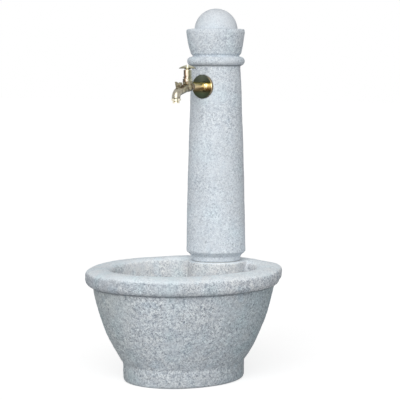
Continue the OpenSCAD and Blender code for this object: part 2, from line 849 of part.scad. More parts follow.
module bonnet() {
    color(brass) at_valve() difference() {
        union() {
            translate([0, 0, bonnet_level]) intersection() {
                hexagon(bonnet_hex, bonnet_hex_height);
                cylinder(r = bonnet_hex / 2 + bonnet_corner, h = bonnet_hex_height);
            }
            translate([0, 0, bonnet_seat - skirt_depth])
                cylinder(r = body_thread_r - fit_gap, h = skirt_depth + washer_t + over);
            translate([0, 0, bonnet_level]) cylinder(r = barrel_r, h = gland_low - bonnet_level);
            translate([0, 0, ring_level]) cylinder(r = ring_r, h = ring_height);
            translate([0, 0, bonnet_level]) cylinder(r = gland_thread_r, h = bonnet_top - bonnet_level);
        }
        translate([0, 0, bonnet_seat - skirt_depth - eps]) cylinder(r = skirt_r, h = skirt_depth + washer_t);
        translate([0, 0, bonnet_seat]) cylinder(r = spindle_r + fit_gap, h = head_room - bonnet_seat);
        cylinder(r = stem_r + fit_gap, h = bonnet_top + eps);
        translate([0, 0, bonnet_top - gland_depth]) cylinder(r = gland_r, h = gland_depth + eps);
    }
}

module gland_packing() {
    color(rubber) at_valve() translate([0, 0, bonnet_top - gland_depth])
        ring(stem_r + fit_gap, gland_r - fit_gap, packing_height);
}

module gland_nut() {
    color(brass) at_valve() difference() {
        translate([0, 0, gland_low]) intersection() {
            hexagon(gland_flats, gland_top - gland_low);
            cylinder(r = gland_corner_r, h = gland_top - gland_low);
        }
        translate([0, 0, gland_low - eps]) cylinder(r = stem_r + fit_gap, h = gland_top);
        translate([0, 0, gland_low - eps]) difference() {
            cylinder(r = gland_thread_r + fit_gap, h = gland_grip + gland_slack);
            translate([0, 0, -over]) cylinder(r = gland_r - fit_gap, h = gland_top);
        }
        translate([0, 0, gland_low - over])
            cylinder(r = gland_r, h = over + gland_grip - gland_depth + packing_height);
    }
}

module spindle() {
    color(brass) at_valve() difference() {
        union() {
            translate([0, 0, spindle_low]) cylinder(r = spindle_r, h = spindle_head_top - spindle_low);
            translate([0, 0, spindle_low]) cylinder(r = stem_r, h = square_low - spindle_low);
            translate([-square_w / 2, -square_w / 2, square_low - over]) intersection() {
                cube([square_w, square_w, square_length + over]);
                translate([square_w / 2, square_w / 2, 0]) cylinder(r = stem_r, h = square_top);
            }
        }
        translate([0, 0, spindle_low - eps])
            cylinder(r = jumper_stem_r + fit_gap, h = jumper_stem + jumper_slack);
        translate([0, 0, square_top - screw_grip - over])
            cylinder(r = screw_r + fit_gap, h = screw_grip + 2 * over);
    }
}

module tap_handle() {
    arch_r = (pow(handle_length / 2, 2) + pow(handle_depth, 2)) / (2 * handle_depth);
    half_angle = acos((arch_r - handle_depth) / arch_r) + handle_past_end;
    color(brass) at_valve() difference() {
        union() {
            intersection() {
                translate([0, 0, arch_level - arch_r]) rotate([90, 0, 0]) rotate([0, 0, 90 - half_angle])
                    rotate_extrude(angle = 2 * half_angle, $fn = stone_fn)
                        translate([arch_r - handle_bar_r, 0]) circle(r = handle_bar_r, $fn = brass_fn);
                translate([-handle_length, -hub_r, handle_low])
                    cube([2 * handle_length, 2 * hub_r, handle_depth + over]);
            }
            translate([0, 0, hub_level]) cylinder(r = hub_r, h = handle_low - hub_level);
            translate([0, 0, handle_low])
                cylinder(r1 = hub_r, r2 = hub_top_r, h = handle_depth - hub_below_arch);
        }
        translate([-square_w / 2 - fit_gap, -square_w / 2 - fit_gap, hub_level - eps])
            cube([square_w + 2 * fit_gap, square_w + 2 * fit_gap, square_top - hub_level + fit_gap]);
        translate([0, 0, hub_level]) cylinder(r = screw_r + fit_gap, h = arch_level);
        translate([0, 0, arch_level - screw_sink])
            cylinder(r = screw_head_r + fit_gap, h = screw_head_t + over);
    }
}

module handle_screw() {
    slot_level = arch_level - screw_sink + screw_head_t - screw_slot_depth;
    color(brass) at_valve() difference() {
        union() {
            translate([0, 0, arch_level - screw_sink]) cylinder(r = screw_head_r, h = screw_head_t);
            translate([0, 0, square_top - screw_grip])
                cylinder(r = screw_r, h = arch_level - square_top + screw_grip - screw_sink + over);
        }
        translate([-screw_head_r - over, -screw_slot_w / 2, slot_level])
            cube([2 * (screw_head_r + over), screw_slot_w, screw_slot_depth + over]);
    }
}

module jumper() {
    color(brass) at_valve() {
        translate([0, 0, jumper_low]) cylinder(r = jumper_r, h = jumper_t);
        translate([0, 0, jumper_low]) cylinder(r = jumper_stem_r, h = jumper_t + jumper_stem);
        translate([0, 0, washer_low - jumper_nut_t])
            cylinder(r = jumper_pin_r, h = jumper_low - washer_low + jumper_nut_t);
    }
}

module seat_washer() {
    color(rubber) at_valve() translate([0, 0, washer_low])
        ring(jumper_pin_r + fit_gap, washer_r, seat_washer_t);
}

module jumper_nut() {
    color(brass) at_valve() translate([0, 0, washer_low - jumper_nut_t]) difference() {
        hexagon(jumper_nut_flats, jumper_nut_t);
        translate([0, 0, -eps]) cylinder(r = jumper_pin_r + fit_gap, h = jumper_nut_t + 2 * eps);
    }
}

module at_spout_end() {
    translate([0, -outlet_reach, bend_z]) children();
}

module at_outlet() {
    at_tap() at_spout_end() translate([0, 0, -nozzle_washer_t]) children();
}

module nozzle_washer() {
    color(rubber) at_outlet() ring(nozzle_thread_r, spout_r - nozzle_washer_in, nozzle_washer_t);
}

module outlet_nozzle() {
    spigot = nozzle_washer_t + nozzle_socket - loose_gap;
    color(brass) at_outlet() difference() {
        union() {
            translate([0, 0, -nozzle_ring_height]) cylinder(r = nozzle_ring_r, h = nozzle_ring_height);
            translate([0, 0, -nozzle_ring_height - nozzle_length])
                cylinder(r = nozzle_r, h = nozzle_length + over);
            translate([0, 0, -over]) cylinder(r = nozzle_thread_r - fit_gap, h = spigot + over);
        }
        translate([0, 0, -nozzle_ring_height - nozzle_length - eps])
            cylinder(r = nozzle_water_r, h = nozzle_ring_height + nozzle_length + spigot + 2 * eps);
    }
}

// Drain

module drain_body() {
    color(brass) at_drain() difference() {
        union() {
            translate([0, 0, floor_height - flange_thickness]) cylinder(r = flange_r, h = flange_thickness);
            translate([0, 0, drain_thread_level])
                cylinder(r = drain_r, h = floor_height - drain_thread_level - over);
            translate([0, 0, drain_clear])
                cylinder(r = drain_spigot_r, h = drain_thread_level - drain_clear + over);
        }
        difference() {
            translate([0, 0, drain_clear - eps]) cylinder(r = drain_water_r, h = floor_height);
            translate([-drain_r, -strainer_bar_w / 2, floor_height - strainer_t - strainer_bar_h])
                cube([2 * drain_r, strainer_bar_w, strainer_bar_h]);
        }
        translate([0, 0, floor_height - strainer_t])
            cylinder(r = strainer_r + loose_gap, h = strainer_t + over);
        translate([0, 0, floor_height - 2 * strainer_bar_h])
            cylinder(r = strainer_screw_r + fit_gap, h = 3 * strainer_bar_h);
    }
}

module drain_gasket() {
    color(rubber) at_drain() translate([0, 0, floor_height - drain_recess])
        ring(drain_hole_r, flange_r - gasket_in, gasket_t);
}

module drain_washer() {
    color(fibre) at_drain() translate([0, 0, drain_pocket_depth - drain_washer_t])
        ring(drain_r + fit_gap, drain_nut_flats / 2 + drain_washer_out, drain_washer_t);
}

module drain_nut() {
    color(brass) at_drain() translate([0, 0, drain_nut_level]) difference() {
        hexagon(drain_nut_flats, drain_nut_height);
        translate([0, 0, -eps]) cylinder(r = drain_r + fit_gap, h = drain_nut_height + 2 * eps);
    }
}

// Row of holes round the screw, from the angle start
module strainer_holes(row_r, count, start) {
    for (i = [0 : count - 1]) rotate([0, 0, start + 360 * i / count]) translate([row_r, 0, 0])
        cylinder(r = strainer_hole_r, h = strainer_t + over);
}

module strainer_grid() {
    color(steel) at_drain() translate([0, 0, floor_height - strainer_t]) difference() {
        cylinder(r = strainer_r, h = strainer_t);
        translate([0, 0, -eps]) {
            cylinder(r = strainer_screw_r + fit_gap, h = strainer_t + over);
            strainer_holes(strainer_outer_row, strainer_outer_holes, 0);
            strainer_holes(strainer_inner_row, strainer_inner_holes, 180 / strainer_outer_holes);
        }
    }
}

module strainer_screw() {
    color(steel) at_drain() translate([0, 0, floor_height]) difference() {
        union() {
            cylinder(r1 = strainer_head_r, r2 = strainer_head_r - strainer_head_taper, h = strainer_head_h);
            translate([0, 0, -strainer_t - strainer_bar_h])
                cylinder(r = strainer_screw_r, h = strainer_t + strainer_bar_h + over);
        }
        translate([-strainer_head_r - over, -strainer_slot_w / 2, strainer_head_h - strainer_slot_depth])
            cube([2 * (strainer_head_r + over), strainer_slot_w, strainer_slot_depth + over]);
    }
}

basin();
column();
bedding_joint();
column_dowels();
finial_ball();
finial_dowel();
inlet_coupling();
riser_pipe();
riser_olive();
riser_nut();
wall_elbow();
extension_nipple();
nipple_grout();
rosette();
tap_body();
bonnet_washer();
bonnet();
gland_packing();
gland_nut();
spindle();
tap_handle();
handle_screw();
jumper();
seat_washer();
jumper_nut();
nozzle_washer();
outlet_nozzle();
drain_body();
drain_gasket();
drain_washer();
drain_nut();
strainer_grid();
strainer_screw();
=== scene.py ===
import json
import math

import bmesh
import bpy
import numpy as np
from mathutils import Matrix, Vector, noise


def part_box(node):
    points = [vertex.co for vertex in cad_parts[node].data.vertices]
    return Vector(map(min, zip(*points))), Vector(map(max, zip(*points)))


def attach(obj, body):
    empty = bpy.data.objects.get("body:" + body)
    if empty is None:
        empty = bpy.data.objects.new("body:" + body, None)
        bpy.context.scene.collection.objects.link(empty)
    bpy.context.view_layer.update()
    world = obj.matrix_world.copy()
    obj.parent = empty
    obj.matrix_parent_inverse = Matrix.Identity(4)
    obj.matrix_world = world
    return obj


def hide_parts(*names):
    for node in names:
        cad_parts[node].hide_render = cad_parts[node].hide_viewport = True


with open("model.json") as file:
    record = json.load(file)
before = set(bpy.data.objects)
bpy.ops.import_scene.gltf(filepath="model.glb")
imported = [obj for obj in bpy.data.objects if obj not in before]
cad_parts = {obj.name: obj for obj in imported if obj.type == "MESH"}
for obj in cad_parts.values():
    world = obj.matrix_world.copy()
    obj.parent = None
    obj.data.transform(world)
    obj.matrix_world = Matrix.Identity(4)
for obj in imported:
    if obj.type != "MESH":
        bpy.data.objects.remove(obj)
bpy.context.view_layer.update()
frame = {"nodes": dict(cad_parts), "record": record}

# Lengths are in metres, angles in degrees, and heights count from the ground. Colours are linear, as they
# render in plain light. A tone of the stone is a factor on its colour. A pair of numbers says where something
# starts and where it is full, and waves count to one metre where nothing else is said.

# Half the distance over which one zone of a material passes into the next
FADE = 0.001
# Values between which most of a noise lies
NOISE_SPREAD = (0.3, 0.7)

# The photograph's camera
CAMERA_PLACE = (2.39085, -3.62389, 0.83957)
CAMERA_LOOK = (-0.540494, 0.837342, -0.082004)
LENS_MM = 145.41
SENSOR_MM = 36.0

# Light: the key's softness is the angle that it fills as seen from the object
WORLD_LEVEL = 0.38
KEY_LEVEL = 0.75
KEY_AZIMUTH = 26.0
KEY_ELEVATION = 24.0
KEY_SOFTNESS = 60.0
FLOOR_HALF = 30.0
FLOOR_GREY = 0.5
FLOOR_GLOW = 0.70

# Places from the boxes of the CAD nodes
STONE_BODY = "fountain"
COLUMN_LOW, COLUMN_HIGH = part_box("column")
COLUMN_AXIS = ((COLUMN_LOW.x + COLUMN_HIGH.x) / 2, (COLUMN_LOW.y + COLUMN_HIGH.y) / 2)
BASIN_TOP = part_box("basin")[1].z
DRAIN_LOW, DRAIN_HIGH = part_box("drain_body")
DRAIN_AXIS = ((DRAIN_LOW.x + DRAIN_HIGH.x) / 2, (DRAIN_LOW.y + DRAIN_HIGH.y) / 2)
ROSETTE_LOW, ROSETTE_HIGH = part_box("rosette")
ROSETTE_CENTRE = (ROSETTE_LOW + ROSETTE_HIGH) / 2
ROSETTE_R = (ROSETTE_HIGH.x - ROSETTE_LOW.x) / 2
BONNET_LOW, BONNET_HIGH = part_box("bonnet")
VALVE_Y = (BONNET_LOW.y + BONNET_HIGH.y) / 2
HANDLE_LOW, HANDLE_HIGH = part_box("tap_handle")

# Granite: tones of the three stones
GRANITE_BOWL = (0.592, 0.644, 0.69)
GRANITE_COLUMN = (0.69, 0.75, 0.805)
GRANITE_BALL = (0.70, 0.745, 0.79)
GRANITE_ROUGHNESS = 0.86
GRANITE_SPECULAR = 0.35
# Granite's patterns, as cells or waves to one grain
FINE_CELLS = 1.0
BROAD_CELLS = 0.45
MICA_CELLS = 1.7
CLUMP_WAVES = 0.36
DENT_WAVES = 0.5
# How far the cells are pushed about, in grains, and the waves of that to one grain
CELLS_PUSHED = (0.9, 1.1)
MICA_PUSHED = (0.5, 2.0)
# Patterns of a fixed size: the speckle's strength, and light and dark waves, with the least and most of each
SPECKLE_WAVES = 11.0
SPECKLE_SPREAD = (0.34, 0.66)
SPECKLE_LEAST = 0.6
SPECKLE_MOST = 1.35
LIGHT_WAVES = 5.0
LIGHT_LEAST = 0.94
LIGHT_MOST = 1.04
# Share of the fine cells in the minerals' tone, and in the bumps
FINE_SHARE = 0.62
FINE_BUMP = 0.25
# Tones of the minerals from dark quartz to pale feldspar, of the mica, and of clumps of dark grains
MINERALS = [
    (0.0, (0.44, 0.47, 0.52)), (0.28, (0.72, 0.74, 0.77)), (0.5, (0.97, 0.97, 0.97)),
    (0.78, (1.20, 1.19, 1.16)), (1.0, (1.44, 1.42, 1.37)),
]
MICA = [(0.0, (0.36, 0.37, 0.40)), (0.06, (1.0, 1.0, 1.0))]
CLUMP_TONE = (0.66, 0.67, 0.69)
CLUMPED = (0.56, 0.66)
# Green-blue and pinkish tints, and their share in the bowl and in the other stones
TINTS = [
    (0.28, (0.92, 0.995, 1.0)), (0.46, (1.0, 1.0, 1.0)), (0.60, (1.03, 1.0, 0.98)),
    (0.74, (0.93, 0.98, 1.01)),
]
TINT_WAVES = 14.0
BOWL_TINTED = 0.8
TINTED = 0.5
# Pits: distance between them, edge and floor as shares of it, which of the cells have one, how far they are
# pushed about and the waves of that, and their tone and its share
PIT_SPACING = 0.011
PIT_EDGE = (0.17, 0.10)
PITTED = (0.52, 0.58)
PITS_PUSHED = (0.004, 150.0)
PIT_TONE = (0.40, 0.42, 0.44)
PIT_SHARE = 0.5

# Bowl: half axes of the opening, how fast the hollow narrows downwards, and the washed stone inside it, which
# also has painted light, as shares of the half axes
OPENING_X = 0.187
OPENING_Y = 0.216
HOLLOW_NARROWS = 1.5
WASHED_LIT_REACH = (0.72, 0.64)
# Bowl: heights of the rim above the corner under it, and slope and heights of the rim's honed top, which has
# painted light
RIM_CORNER = 0.2550
RIM_HEIGHTS = (RIM_CORNER, RIM_CORNER + 0.004)
HONED_SLOPES = (0.38, 0.76)
HONED_HEIGHTS = (BASIN_TOP - 0.022, BASIN_TOP - 0.014)
# Bowl: what is left of the speckle on the rim, on its honed top and in the washed hollow, and what is left on
# the honed top of the relief and of the rim's side tones
RIM_SPECKLE = 0.85
HONED_SPECKLE = 0.36
WASHED_SPECKLE = 0.74
HONED_RELIEF = 0.25
HONED_SIDE_TONES = 0.4
# Bowl: painted light in the hollow and on the honed top, and the foot darker towards the bottom up to its
# heights
HOLLOW_LIGHT_TONE = (1.33, 1.275, 1.225)
HONED_TOP_LIGHT_TONE = (1.38, 1.37, 1.34)
FOOT_LOW_TONE = 0.87
FOOT_LOW_HEIGHTS = (0.055, 0.03)
# Bowl: painted shade in the corner under the rim: tone, share of it, and distances from the corner
RIM_CORNER_SHADE = (0.35, 0.37, 0.40)
RIM_CORNER_SHADE_SHARE = 0.6
RIM_CORNER_SHADE_REACH = (0.0042, 0.0012)
# Bowl: sideways direction along which its flanks and rim change, with the waves and the width of their ragged
# edges, and for each its start and full strength along it, and its tone
SIDEWAYS_WAY = (0.835, 0.550, 0.0)
SIDEWAYS_EDGES = (9.0, 0.12)
# Painted shade with a green-grey tint, darker towards each flank
RIGHT_FLANK_SHADE = (0.10, 0.24, (0.86, 0.935, 0.94))
LEFT_FLANK_SHADE = (-0.10, -0.24, (0.89, 0.91, 0.88))
# The rim, lighter towards the right and darker towards the left
RIM_RIGHT_LIGHTER = (0.0, 0.10, (1.19, 1.17, 1.16))
RIM_LEFT_DARKER = (-0.10, -0.20, (0.90, 0.90, 0.91))
# Bowl: places on the same way between which the right flank's speckle grows stronger, and how strong
SPECKLED_FLANK = (0.08, 0.20)
FLANK_SPECKLE = 1.3
# Bowl: painted light in the corner left of the pier and painted shade in the corner right of it, against the
# hollow's back wall: place, reach and tone, and the share of the reach within which each is full
PIER_CORNER_PAINT = (
    ((-0.075, 0.185, 0.0), 0.060, (1.13, 1.11, 1.09)),
    ((0.087, 0.193, 0.0), 0.040, (0.90, 0.90, 0.91)),
)
PIER_PAINT_FULL = 0.4

# Column: height of the collar's middle, the collar's round, and what is left of the speckle on it
COLLAR_LEVEL = 0.8557
COLLAR_ROUND = 0.0123
COLLAR_SPECKLE = 0.7
# Column: painted shade in the corner under the collar: height, tone, share of it, and distances from the
# corner
COLLAR_CORNER = 0.8434
COLLAR_CORNER_SHADE = (0.45, 0.46, 0.48)
COLLAR_CORNER_SHADE_SHARE = 0.8
COLLAR_CORNER_SHADE_REACH = (0.0028, 0.0012)
# Column: what is left of the speckle low on the shaft, and how much paler the shaft is there, with heights
LOW_SPECKLE = 0.78
LOW_SPECKLE_HEIGHTS = (0.55, 0.36)
LOW_TONE = 1.07
LOW_TONE_HEIGHTS = (0.50, 0.34)

# Metal: waves of the haze and of the fine scratches, depth and strength of the scratches, and the waves of
# the stains, their spread and what is left of the metal's tone in them
HAZE_WAVES = 220.0
SCRATCH_WAVES = 900.0
SCRATCH_DEPTH = 0.0001
SCRATCH_STRENGTH = 0.15
METAL_STAIN_WAVES = 60.0
METAL_STAINED = (0.35, 0.75)
METAL_STAIN_TONE = 0.45
STEEL = (0.44, 0.45, 0.46)
COPPER = (0.75, 0.42, 0.28)
# Brass from the polished metal to the tarnish
BRASS = (0.62, 0.50, 0.27)
BRASS_CREAM = (0.80, 0.74, 0.58)
BRASS_BEND_HIGHLIGHT = (0.52, 0.49, 0.42)
BRASS_DULL = (0.46, 0.38, 0.22)
BRASS_PATINA = (0.33, 0.30, 0.21)
BRASS_OLIVE = (0.20, 0.185, 0.125)
BRASS_HEXAGON = (0.17, 0.125, 0.085)
BRASS_BROWN = (0.15, 0.10, 0.055)
BRASS_DARK = (0.055, 0.058, 0.038)
# Brass: patches of tarnish, about 8 mm wide
MOTTLED = [(0.28, BRASS_DARK), (0.40, BRASS_BROWN), (0.49, BRASS_OLIVE), (0.60, BRASS_PATINA), (0.74, BRASS)]
MOTTLED_WAVES = 115.0
# Barrel: radius, azimuth of the way from its brown side to its olive side, with the tones on the way, which
# are a painted highlight and painted reflections, and the waves and the width of their ragged edges
BARREL_R = 0.0096
BARREL_WAY = 30.0
BARREL_EDGES = (90.0, 0.004)
BARREL_LIGHT_TONES = [
    (0.0, (0.035, 0.020, 0.010)), (0.22, (0.13, 0.058, 0.022)), (0.31, (0.38, 0.27, 0.20)),
    (0.38, (0.52, 0.455, 0.39)), (0.54, (0.47, 0.42, 0.36)), (0.63, (0.17, 0.155, 0.10)),
    (0.84, (0.15, 0.155, 0.095)), (1.0, (0.44, 0.45, 0.35)),
]
# Rosette: tones from its lowest to its highest point, a painted reflection with gold level with the tap, and
# the waves and the width of their ragged edges; then the tones of its rim from left to right, painted lighter
# on the right, and the rim's radii
ROSETTE_REFLECTION_TONES = [
    (0.0, (0.028, 0.036, 0.026)), (0.20, (0.045, 0.056, 0.032)), (0.32, (0.055, 0.045, 0.022)),
    (0.36, (0.19, 0.13, 0.055)), (0.42, (0.33, 0.22, 0.10)), (0.455, (0.66, 0.55, 0.34)),
    (0.54, (0.74, 0.65, 0.42)), (0.60, (0.64, 0.55, 0.28)), (0.635, (0.115, 0.095, 0.016)),
    (0.70, (0.050, 0.056, 0.038)), (1.0, (0.070, 0.080, 0.062)),
]
ROSETTE_EDGES = (60.0, 0.004)
ROSETTE_RIM_LIGHT_TONES = [
    (0.0, BRASS_DARK), (0.6, (0.09, 0.08, 0.045)), (0.85, (0.18, 0.125, 0.065)), (1.0, (0.33, 0.24, 0.14)),
]
ROSETTE_RIM_RADII = (ROSETTE_R * 0.972, ROSETTE_R * 0.995)
# Rosette: a painted highlight as an upright streak, its half width, and how bright the plate is in its middle
# and beside it
HIGHLIGHT_STREAK_HALF = ROSETTE_R * 0.55
HIGHLIGHT_STREAK_TONE = 1.55
BESIDE_HIGHLIGHT_STREAK = 0.98
# Tap: radius of the neck pipe, its roughness and the other parts', and its tones from bottom to top, a painted
# reflection
PIPE_R = 0.0085
PIPE_ROUGHNESS = 0.5
TAP_ROUGHNESS = 0.22
PIPE_REFLECTION_TONES = [
    (0.0, (0.22, 0.14, 0.06)), (0.22, (0.42, 0.30, 0.15)), (0.38, (0.64, 0.53, 0.34)),
    (0.75, (0.68, 0.59, 0.37)), (1.0, (0.50, 0.43, 0.18)),
]
# Tap: front and back of the hexagon behind the valve's axis, and the spout's bend, painted paler as a
# highlight: how far behind the valve's axis, how far over the tap's axis, and its share
HEX_FRONT = 0.0105
HEX_BACK = 0.0215
BEND_BEHIND = (-0.031, -0.041)
BEND_RISE = (-0.001, -0.009)
BEND_SHARE = 0.5
# Handle: tones from near its underside to its top, painted shade below and painted light on top, and its left
# tip
# darkened with painted shade: where it lies across the handle, and the places among the tones at which it
# starts and is full
HANDLE_LIGHT_TONES = [
    (0.0, BRASS_DARK), (0.15, (0.10, 0.10, 0.055)), (0.32, (0.26, 0.25, 0.18)), (0.6, (0.47, 0.47, 0.37)),
    (1.0, (0.62, 0.62, 0.51)),
]
HANDLE_UNDERSIDE = HANDLE_LOW.z + 0.0015
SHADED_TIP_ACROSS = (HANDLE_LOW.x * 0.55, HANDLE_LOW.x * 0.8)
SHADED_TIP_BELOW = (0.55, 0.30)
# Nozzle: cream with dark stains
NOZZLE_TONES = [(0.30, BRASS_DARK), (0.37, (0.30, 0.26, 0.17)), (0.43, BRASS_CREAM), (1.0, BRASS_CREAM)]
NOZZLE_WAVES = 170.0

# Mortar, rubber and fibre, the tone of their darker grains, the share of it, and the strength of their bumps
MORTAR = (0.42, 0.43, 0.44)
RUBBER = (0.035, 0.035, 0.035)
FIBRE = (0.13, 0.075, 0.05)
GRAIN_TONE = 0.7
GRAIN_SHARE = 0.3
GRAIN_STRENGTH = 0.5

# Dressed stones: distance between the points of the even mesh, and most triangles
BASIN_VOXEL = 0.0025
COLUMN_VOXEL = 0.002
MOST_TRIANGLES = 195000
# Dressed stones: wavelength and seed of the long waves, the tool marks and the pecks, and the depth of each
RELIEF_WAVES = ((0.075, 3.1), (0.011, 17.7), (0.0045, 41.3))
BASIN_RELIEF = (0.0009, 0.00035, 0.0002)
COLUMN_RELIEF = (0.0005, 0.0002, 0.0001)
# Where the relief is nothing and full: height over the ground, distance from the drain's axis up to a height
# in the hollow, and distance from the column's axis on its bed
GROUND_CLEAR = (0.0015, 0.006)
DRAIN_CLEAR = (0.057, 0.066)
DRAIN_CLEAR_UP_TO = (0.15, 0.16)
PIER_CLEAR = (0.068, 0.073)
# The same on the column: distance from its axis in the bores and the ball's seat, height over its bed, and
# distance from the rosette's centre
BORE_CLEAR = (0.055, 0.060)
BED_CLEAR = (0.001, 0.004)
ROSETTE_CLEAR = (0.034, 0.038)
# The rim's right end: heading from +X, angle from there up to which it is cut fully and from which it isn't
# cut, and the lines pushed: distance outward from the rim's edge and height, spread, and move outward and up
RIM_END_HEADING = 39.0
RIM_END_FULL = 12.0
RIM_END_NONE = 34.0
RIM_END_TOP = ((-0.006, 0.297), 0.010, (0.0030, 0.0030))
RIM_END_UNDER = ((-0.003, 0.265), 0.008, (-0.0040, 0.0010))
# The rim's edge is found at headings of this step, from the points within this angle
EDGE_STEP = 3.0
EDGE_WITHIN = 2.0
# The cup: heights and distances from the axis between which its side's new shape sets in, how much slimmer and
# how far off the axis that is, and its top edge's line: distance from the box, spread, and move outward and up
CUP_HEIGHTS = (0.872, 0.917)
CUP_SIDE = (0.060, 0.069)
CUP_SLIMMER = 0.0018
CUP_OFF_AXIS = 0.0012
CUP_EDGE_IN = 0.0026
CUP_EDGE_SPREAD = 0.0034
CUP_EDGE_MOVE = (0.0010, 0.0011)

TINY = 1e-6
PLAIN = (1.0, 1.0, 1.0)


# Node trees

class Tree:
    """Short calls that build one material's node tree."""

    def __init__(self, name):
        self.material = bpy.data.materials.new(name)
        self.material.use_nodes = True
        self.nodes = self.material.node_tree.nodes
        self.links = self.material.node_tree.links
        self.shader = self.nodes["Principled BSDF"]

    def add(self, kind, **settings):
        node = self.nodes.new(kind)
        for key, value in settings.items():
            setattr(node, key, value)
        return node

    def put(self, socket, value):
        """Links a socket's value, or sets a constant one."""
        if isinstance(value, bpy.types.NodeSocket):
            self.links.new(value, socket)
        else:
            socket.default_value = value

    def place(self):
        """Place in the frame."""
        return self.add("ShaderNodeTexCoord").outputs["Object"]

    def slope(self):
        """1 where the surface faces up, 0 where it is upright."""
        return self.axes(self.add("ShaderNodeTexCoord").outputs["Normal"])[2]

    def math(self, operation, a, b=0.0):
        node = self.add("ShaderNodeMath", operation=operation)
        self.put(node.inputs[0], a)
        self.put(node.inputs[1], b)
        return node.outputs[0]

    def plus(self, a, b):
        return self.math("ADD", a, b)

    def minus(self, a, b):
        return self.math("SUBTRACT", a, b)

    def times(self, first, *others):
        for other in others:
            first = self.math("MULTIPLY", first, other)
        return first

    def absolute(self, value):
        return self.math("ABSOLUTE", value)

    def noise(self, place, scale, detail=2.0, rough=0.5, output="Fac"):
        node = self.add("ShaderNodeTexNoise")
        self.put(node.inputs["Vector"], place)
        node.inputs["Scale"].default_value = scale
        node.inputs["Detail"].default_value = detail
        node.inputs["Roughness"].default_value = rough
        return node.outputs[output]

    def wander(self, place, scale, width):
        """Noise about zero, all of it as wide as the width given."""
        return self.times(self.minus(self.noise(place, scale), 0.5), width)

    def cells(self, place, scale, output="Color"):
        node = self.add("ShaderNodeTexVoronoi")
        self.put(node.inputs["Vector"], place)
        node.inputs["Scale"].default_value = scale
        return node.outputs[output]

    def range(self, value, low, high, to_low=0.0, to_high=1.0):
        """Turns the range from low to high into another one, and holds it at both ends."""
        node = self.add("ShaderNodeMapRange")
        self.put(node.inputs["Value"], value)
        node.inputs["From Min"].default_value = low
        node.inputs["From Max"].default_value = high
        node.inputs["To Min"].default_value = to_low
        node.inputs["To Max"].default_value = to_high
        return node.outputs["Result"]

    def left_over(self, zone, rest):
        """1 outside a zone and the rest given inside it."""
        return self.range(zone, 0.0, 1.0, 1.0, rest)

    def ramp(self, value, stops, stepped=False):
        node = self.add("ShaderNodeValToRGB")
        self.put(node.inputs["Fac"], value)
        ramp = node.color_ramp
        ramp.interpolation = "CONSTANT" if stepped else "LINEAR"
        while len(ramp.elements) < len(stops):
            ramp.elements.new(0.5)
        for element, (at, colour) in zip(ramp.elements, stops):
            element.position = at
            element.color = (*colour, 1.0)
        return node.outputs["Color"]

    def mix(self, share, a, b, blend="MIX"):
        node = self.add("ShaderNodeMix", data_type="RGBA", blend_type=blend)
        self.put(node.inputs["Factor"], share)
        for socket, value in ((node.inputs[6], a), (node.inputs[7], b)):
            self.put(socket, (*value, 1.0) if isinstance(value, tuple) else value)
        return node.outputs[2]

    def toned(self, colour, share, tone):
        """The colour, with the share given of it times the tone."""
        return self.mix(share, colour, self.mix(1.0, colour, tone, "MULTIPLY"))

    def shaded(self, colour, level):
        """The colour times a number."""
        grey = self.add("ShaderNodeCombineColor")
        for socket in grey.inputs:
            self.put(socket, level)
        return self.mix(1.0, colour, grey.outputs["Color"], "MULTIPLY")

    def length(self, place, scale):
        """Length of the place after each axis is scaled."""
        scaled = self.add("ShaderNodeVectorMath", operation="MULTIPLY")
        self.put(scaled.inputs[0], place)
        scaled.inputs[1].default_value = scale
        node = self.add("ShaderNodeVectorMath", operation="LENGTH")
        self.put(node.inputs[0], scaled.outputs[0])
        return node.outputs["Value"]

    def shifted(self, place, origin):
        """The place counted from another origin."""
        node = self.add("ShaderNodeVectorMath", operation="SUBTRACT")
        self.put(node.inputs[0], place)
        node.inputs[1].default_value = origin
        return node.outputs[0]

    def along(self, place, way):
        """Distance along a direction."""
        node = self.add("ShaderNodeVectorMath", operation="DOT_PRODUCT")
        self.put(node.inputs[0], place)
        node.inputs[1].default_value = way
        return node.outputs["Value"]

    def axes(self, place):
        node = self.add("ShaderNodeSeparateXYZ")
        self.put(node.inputs[0], place)
        return node.outputs

    def first(self, colour):
        """A colour's first channel as a number."""
        node = self.add("ShaderNodeSeparateColor")
        self.put(node.inputs["Color"], colour)
        return node.outputs[0]

    def ragged(self, place, amount, scale):
        """The place moved about by noise, so that cells get ragged edges."""
        node = self.add("ShaderNodeVectorMath", operation="MULTIPLY_ADD")
        self.put(node.inputs[0], self.noise(place, scale, output="Color"))
        node.inputs[1].default_value = (amount,) * 3
        self.put(node.inputs[2], place)
        return node.outputs[0]

    def bump(self, height, depth, strength=1.0):
        node = self.add("ShaderNodeBump")
        node.inputs["Strength"].default_value = strength
        node.inputs["Distance"].default_value = depth
        self.put(node.inputs["Height"], height)
        self.put(self.shader.inputs["Normal"], node.outputs["Normal"])

    def finish(self, **inputs):
        for key, value in inputs.items():
            socket = self.shader.inputs[key.replace("_", " ")]
            self.put(socket, (*value, 1.0) if isinstance(value, tuple) else value)
        return self.material


# Granite

def near_level(tree, height, level, none, full):
    """Nothing from the first distance off a level, and 1 within the second."""
    return tree.range(tree.absolute(tree.minus(height, level)), none, full)


def pushed(tree, place, grain, push):
    """The place pushed about, with the push given in grains."""
    return tree.ragged(place, grain * push[0], push[1] / grain)


